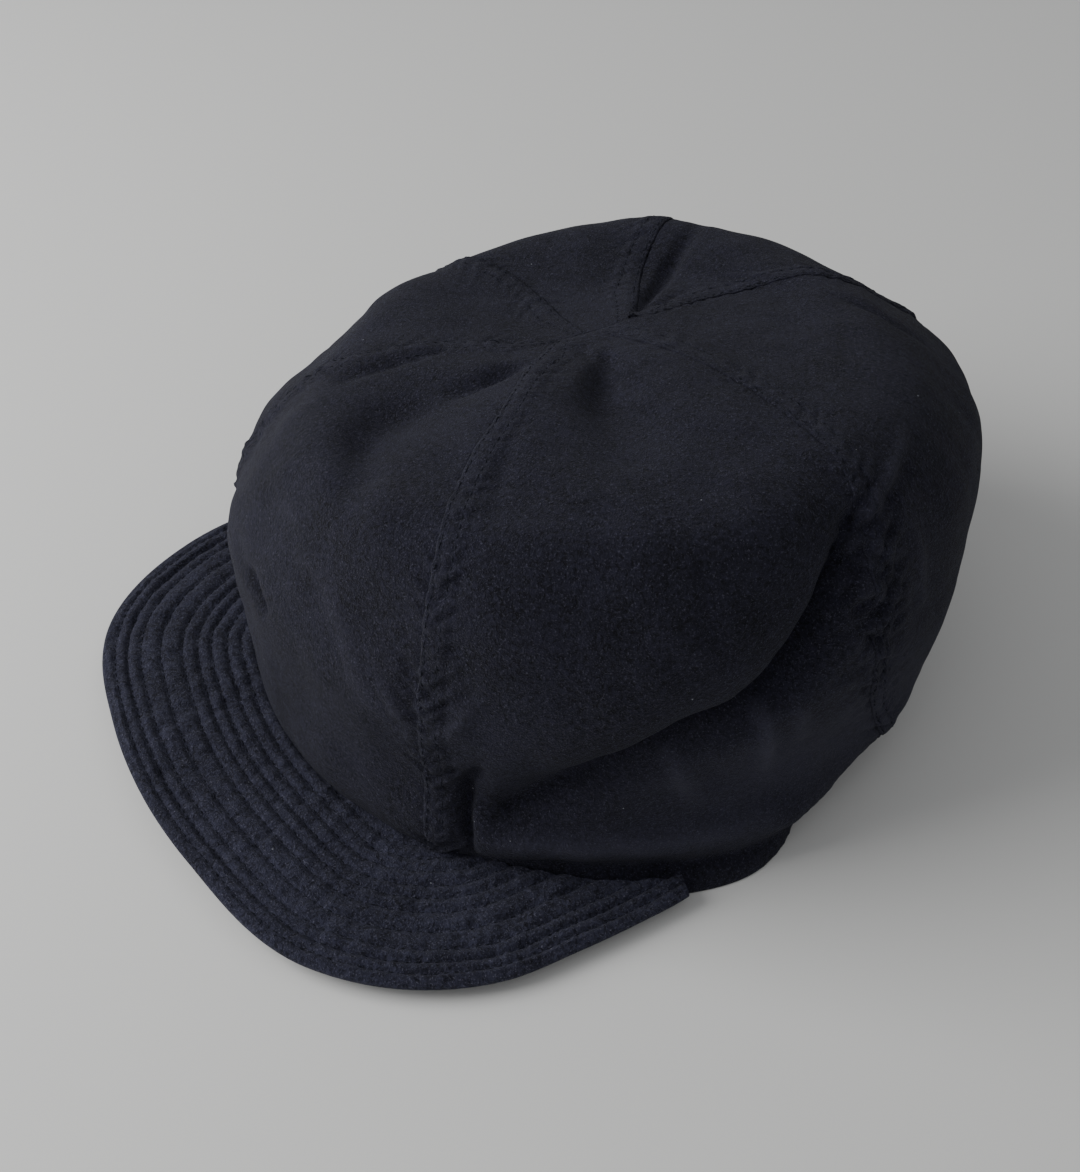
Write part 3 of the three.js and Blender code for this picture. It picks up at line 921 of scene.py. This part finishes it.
def sewing_thread(name, hex_value):
    """Mercerised cotton sewing thread, slightly smoother than the cloth around it."""
    thread = new_material(name)
    place = add_node(thread, "ShaderNodeTexCoord").outputs["Object"]
    ply = add_node(
        thread, "ShaderNodeTexNoise", values={"Scale": PLY_PER_METRE, "Detail": 2.0}, links={"Vector": place}
    )
    tone = add_node(thread, "ShaderNodeValToRGB", links={"Fac": ply.outputs["Fac"]})
    set_stops(tone, (0.35, 0.7), (THREAD_SHADE, hex_value))
    bump = add_node(
        thread,
        "ShaderNodeBump",
        values={"Strength": 0.5, "Distance": 0.0002},
        links={"Height": ply.outputs["Fac"]},
    )
    shader = add_node(
        thread,
        "ShaderNodeBsdfPrincipled",
        values={"Roughness": 0.85, "Specular IOR Level": 0.15},
        links={"Base Color": tone.outputs["Color"], "Normal": bump.outputs["Normal"]},
    )
    add_node(thread, "ShaderNodeOutputMaterial", links={"Surface": shader.outputs["BSDF"]})
    return thread


def one_stitch():
    """The points and faces of one stitch, in millimetres along X, with its ends drawn in and down."""
    bpy.ops.object.select_all(action="DESELECT")
    bpy.ops.mesh.primitive_cylinder_add(
        vertices=6, radius=THREAD_RADIUS, depth=STITCH_LENGTH, rotation=(0.0, math.pi / 2, 0.0)
    )
    stitch = bpy.context.object
    bpy.ops.object.transform_apply(location=True, rotation=True, scale=True)
    bpy.ops.object.mode_set(mode="EDIT")
    for place in (-STITCH_STRAIGHT, STITCH_STRAIGHT):
        bpy.ops.mesh.select_all(action="SELECT")
        bpy.ops.mesh.bisect(plane_co=(place, 0, 0), plane_no=(1, 0, 0))
    bpy.ops.object.mode_set(mode="OBJECT")
    points = np.array([vertex.co for vertex in stitch.data.vertices])
    faces = [list(polygon.vertices) for polygon in stitch.data.polygons]
    bpy.data.objects.remove(stitch)
    ends = np.abs(points[:, 0]) / (STITCH_LENGTH / 2)
    points[:, 1:] *= (1.0 - END_SLIMMING * ends**2)[:, None]
    points[:, 2] -= END_DIP * ends**2
    return points, faces


STITCH_POINTS, STITCH_FACES = one_stitch()
navy_thread = sewing_thread("navy_cotton_thread", "#2a2c38")
print("one stitch:", len(STITCH_POINTS), "points", len(STITCH_FACES), "faces")

# %% [markdown]
# The rows of a seam are found on the panel's own grid: at each level the point at the row's distance
# from the folded edge is looked up, and stitches are set along that line at an even pitch. On the
# real cap the rows go up to the top, so here too they run the whole length of the seam, and the rows
# start a little apart, as they do when two rows are sewn one after the other.

# %% Sew the crown
THREAD_LIFT = 0.02  # so that the middle of a stitch shows above the cloth
LOOK_ALONG = 0.8  # a stitch points from a place this far behind it to one this far ahead
FIRST_STITCH = 1.5
NEXT_ROW_START = 1.4


def three_at(place, places, values):
    """Three coordinates at a place, between the two given places beside it."""
    return np.stack([np.interp(place, places, values[:, k]) for k in range(3)], axis=-1)


def along_line(line, ups, start):
    """Places, directions and outward directions of the stitches along a line of points."""
    length = length_along(line)
    places = np.arange(start, length[-1] - STITCH_PITCH / 2, STITCH_PITCH)
    way = three_at(places + LOOK_ALONG, length, line) - three_at(places - LOOK_ALONG, length, line)
    way /= np.linalg.norm(way, axis=1, keepdims=True) + 1e-9
    side = np.cross(three_at(places, length, ups), way)
    side /= np.linalg.norm(side, axis=1, keepdims=True) + 1e-9
    return three_at(places, length, line), way, side, np.cross(way, side)


def sew(name, rows, material):
    """One piece with a stitch at each place of each row."""
    points, faces = [], []
    count = 0
    for here, way, side, up in rows:
        for k in range(len(here)):
            moved = here[k] + STITCH_POINTS @ np.stack([way[k], side[k], up[k]])
            points.append(moved + up[k] * THREAD_LIFT)
            faces.extend([[corner + count for corner in face] for face in STITCH_FACES])
            count += len(STITCH_POINTS)
    mesh = bpy.data.meshes.new(name)
    mesh.from_pydata(to_metres(np.concatenate(points)).tolist(), [], faces)
    mesh.update()
    thread = bpy.data.objects.new(name, mesh)
    bpy.context.scene.collection.objects.link(thread)
    bpy.ops.object.select_all(action="DESELECT")
    bpy.context.view_layer.objects.active = thread
    thread.select_set(True)
    bpy.ops.object.shade_smooth()
    mesh.materials.append(material)
    return thread


def row_on_panel(face, distance):
    """The line on a panel at a distance from its first seam's folded edge."""
    points, across, narrow = face
    wanted = distance * narrow[:, 0]
    return (
        np.array([three_at(wanted[k], across[k], grid[k]) for k in range(len(points))])
        for grid in (points, outward(points))
    )


for panel_name, (first_name, _, _) in PANELS.items():
    rows = []
    for k, distance in enumerate(STITCH_ROWS):
        line, ups = row_on_panel(panel_faces[panel_name], distance)
        rows.append(along_line(line, ups, FIRST_STITCH + NEXT_ROW_START * k))
    stitches = sew("stitches_" + first_name, rows, navy_thread)
    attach(stitches, "root")
    print(stitches.name, sum(len(row[0]) for row in rows), "stitches")

# %% [markdown]
# ## The visor
# The visor is two cloths over a stiffener, sewn through in rows that follow its outer edge about
# 5 mm apart. Each row pulls a groove, the cloth between two rows stands up as a soft rib, and the
# thread puckers the ribs. The section is one closed loop: upper face, rounded edge, under face.

# %% Visor table and surface
VISOR = np.array(
    [
        # round, out, edge_top
        [-83, 4, 5.8],
        [-68, 18.5, 4.5],
        [-50, 38, 4.4],
        [-32, 49.8, 7],
        [-12, 47.8, 11],
        [12, 48.6, 9.5],
        [32, 53.2, 7],
        [53, 37.3, 6],
        [62, 23, 5.8],
        [70.5, 12, 5.8],
        [78.5, 4, 5.8],
    ],
    float,
)
VISOR_THICKNESS = 3.6
VISOR_EDGE_THICKNESS = 2.6
VISOR_ROOT_TOP = 6.4
VISOR_TUCK = 0.9  # how far the visor's root lies inside the crown's cloth
VISOR_ROWS = [
    # distance from the outer edge, depth of the groove
    (2.9, 0.5),
    (7.0, 1.1),
    (11.3, 0.6),
    (17.8, 0.8),
    (24.8, 0.8),
    (29.8, 0.7),
    (34.3, 0.8),
    (39.4, 0.7),
    (44.2, 0.6),
    (49.0, 0.5),
]
VISOR_STRIPS = 330
UPPER_LINES = 80
EDGE_LINES = 6
UNDER_LINES = 40
RIB_RISE = 0.5
RIB_PUCKER = 0.15
GROOVE_SHARE = 0.85  # of the depth in the table, because the ribs stand up beside it
GROOVE_REACH = 0.9
VISOR_SLACK = ((0.25, 40.0, 11), (0.2, 5.5, 12))  # height, length of the waves, seed
VISOR_CALM = 1.5  # relief starts this far in from the edge
UNDER_RELIEF = 0.5  # the under face follows the upper one's relief by half


def visor_plan(turn, share):
    """Points of the visor's smooth upper face: share is 0 at the crown and 1 at the outer edge."""
    turn, share = np.broadcast_arrays(np.asarray(turn, float), np.asarray(share, float))
    out, edge_top = np.moveaxis(curve(turn, VISOR[:, 0], VISOR[:, 1:]), -1, 0)
    away = np.stack([np.sin(np.radians(turn)), -np.cos(np.radians(turn)), np.zeros_like(turn)], axis=-1)
    reach = (out + VISOR_TUCK) * share - VISOR_TUCK
    points = form(turn, ROOT_AT) + away * reach[..., None]
    points[..., 2] = VISOR_ROOT_TOP + (edge_top - VISOR_ROOT_TOP) * share
    return points


def distance_from_edge(points):
    """Level distance from each point to the visor's outer edge."""
    turns = np.linspace(VISOR[0, 0], VISOR[-1, 0], 400)
    edge = visor_plan(turns, 1.0)[:, :2]
    flat = points[..., :2].reshape(-1, 2)
    nearest = np.full(len(flat), np.inf)
    for start, end in zip(edge[:-1], edge[1:]):
        along = end - start
        share = np.clip((flat - start) @ along / (along @ along), 0.0, 1.0)
        nearest = np.minimum(nearest, np.linalg.norm(flat - start - share[:, None] * along, axis=1))
    return nearest.reshape(points.shape[:-1])


def rib_relief(distance, along):
    """Height of the sewn ribs: grooves at the rows, rounded cloth between them, small puckers."""
    height = np.zeros_like(distance)
    marks = [0.0] + [row[0] for row in VISOR_ROWS]
    for start, end in zip(marks, marks[1:]):
        t = np.clip((distance - start) / (end - start), 0.0, 1.0)
        inside = (distance >= start) & (distance < end)
        ripple = wave(along, 4.3, 1.9 * start + 1.3 * wave(along, 17.0, start))
        ripple += 0.6 * wave(along, 2.7, 3.1 * start)
        height += np.where(inside, np.sin(np.pi * t) ** 0.8 * (RIB_RISE + RIB_PUCKER * ripple), 0.0)
    pull = 0.85 + 0.15 * wave(along, STITCH_PITCH, math.pi / 2)
    for place, depth in VISOR_ROWS:
        uneven = 0.9 + 0.2 * wave(along, 13.0, place) * wave(along, 7.3, 2 * place)
        groove = np.exp(-(((distance - place) / GROOVE_REACH) ** 2))
        height -= GROOVE_SHARE * depth * groove * pull * uneven
    return height


def visor_faces():
    """The upper and under faces of the visor as grids, and the distance from the edge on the upper one."""
    turns = np.linspace(VISOR[0, 0], VISOR[-1, 0], VISOR_STRIPS + 1)
    along = length_along(visor_plan(turns, 1.0))[None, :]
    upper = visor_plan(turns, np.linspace(0.0, 1.0, UPPER_LINES + 1)[:, None])
    distance = distance_from_edge(upper)
    relief = rib_relief(distance, along)
    for high, size, seed in VISOR_SLACK:
        relief += high * unevenness(upper, size, seed)
    upper[..., 2] += relief * ease(distance, 0.0, VISOR_CALM)
    under_share = np.linspace(1.0, 0.0, UNDER_LINES + 1)[:, None]
    under = visor_plan(turns, under_share)
    under_distance = distance_from_edge(under)
    under_relief = UNDER_RELIEF * rib_relief(under_distance, along)
    under[..., 2] -= VISOR_THICKNESS + (VISOR_EDGE_THICKNESS - VISOR_THICKNESS) * under_share**3
    under[..., 2] -= under_relief * ease(under_distance, 0.0, VISOR_CALM)
    under[..., 2] = np.maximum(under[..., 2], 0.0)
    return upper, under, distance


visor_upper, visor_under, visor_distance = visor_faces()
print("visor:", np.ptp(visor_upper[..., 0]).round(1), "mm wide,", visor_distance.max().round(1), "mm deep")

# %% [markdown]
# The loop of the section is closed at the crown's side, where it is hidden in the cloth, and the two
# tips are filled. Double points are merged before the normals are made to point outwards.

# %% Make the visor
visor_cloth = brushed_wool("brushed_navy_wool_visor", "#10101a", "#37384a", "#646475", 0.0013)


def visor_section():
    """Rows of the closed section: upper face, rounded edge, under face and back to the start."""
    rows = [row for row in visor_upper]
    top, bottom = visor_upper[-1], visor_under[0]
    middle = (top + bottom) / 2
    half = np.abs(top[:, 2] - bottom[:, 2])[:, None] / 2
    outwards = visor_upper[-1] - visor_upper[-2]
    outwards[:, 2] = 0.0
    outwards /= np.linalg.norm(outwards, axis=1, keepdims=True) + 1e-9
    for k in range(1, EDGE_LINES):
        angle = math.pi / 2 - math.pi * k / EDGE_LINES
        ring_row = middle + outwards * half * math.cos(angle)
        ring_row[:, 2] += half[:, 0] * math.sin(angle)
        rows.append(ring_row)
    rows.extend(visor_under)
    rows.append(visor_upper[0])
    return np.array(rows)


def closed_visor(section):
    """The visor's skin from its section rows, merged, filled at both tips and turned outwards."""
    piece, _, _ = placed_grid("cloth_visor", section)
    bpy.ops.object.mode_set(mode="EDIT")
    bpy.ops.mesh.select_all(action="SELECT")
    bpy.ops.mesh.remove_doubles(threshold=0.00001)
    bpy.ops.mesh.select_all(action="DESELECT")
    bpy.ops.mesh.select_non_manifold()
    bpy.ops.mesh.fill()
    bpy.ops.mesh.select_all(action="SELECT")
    bpy.ops.mesh.normals_make_consistent(inside=False)
    bpy.ops.object.mode_set(mode="OBJECT")
    bpy.ops.object.shade_smooth_by_angle(angle=math.radians(50))
    piece.data.materials.clear()
    piece.data.materials.append(visor_cloth)
    return piece


visor = closed_visor(visor_section())
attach(visor, "root")
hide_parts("visor")
print(visor.name, len(visor.data.polygons), "faces")

# %% [markdown]
# The visor's rows are sewn the same way as the seams. A row ends where the crown cuts it off, so each
# row is looked up strip by strip, and the strips that are too short for it are left out.

# %% Sew the visor
ROW_CLEARANCE = 0.8  # a row stays this far from the crown
FEWEST_STRIPS = 12  # a shorter row would be only a stitch or two


def row_on_visor(distance):
    """The line on the visor's upper face at a distance from the outer edge."""
    ups = outward(visor_upper)
    ups *= np.sign(ups[..., 2:3])
    line, up_line = [], []
    for strip in range(4, VISOR_STRIPS - 3):
        reach = visor_distance[::-1, strip]
        if reach.max() >= distance + ROW_CLEARANCE:
            line.append(three_at(distance, reach, visor_upper[::-1, strip]))
            up_line.append(three_at(distance, reach, ups[::-1, strip]))
    return np.array(line), np.array(up_line)


visor_stitch_rows = []
for number, (distance, _) in enumerate(VISOR_ROWS):
    line, ups = row_on_visor(distance)
    if len(line) >= FEWEST_STRIPS:
        visor_stitch_rows.append(along_line(line, ups, 1.0 + 1.1 * (number % 3)))
visor_stitches = sew("stitches_visor_rows", visor_stitch_rows, navy_thread)
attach(visor_stitches, "root")
print("visor rows:", len(visor_stitch_rows), "stitches:", sum(len(row[0]) for row in visor_stitch_rows))
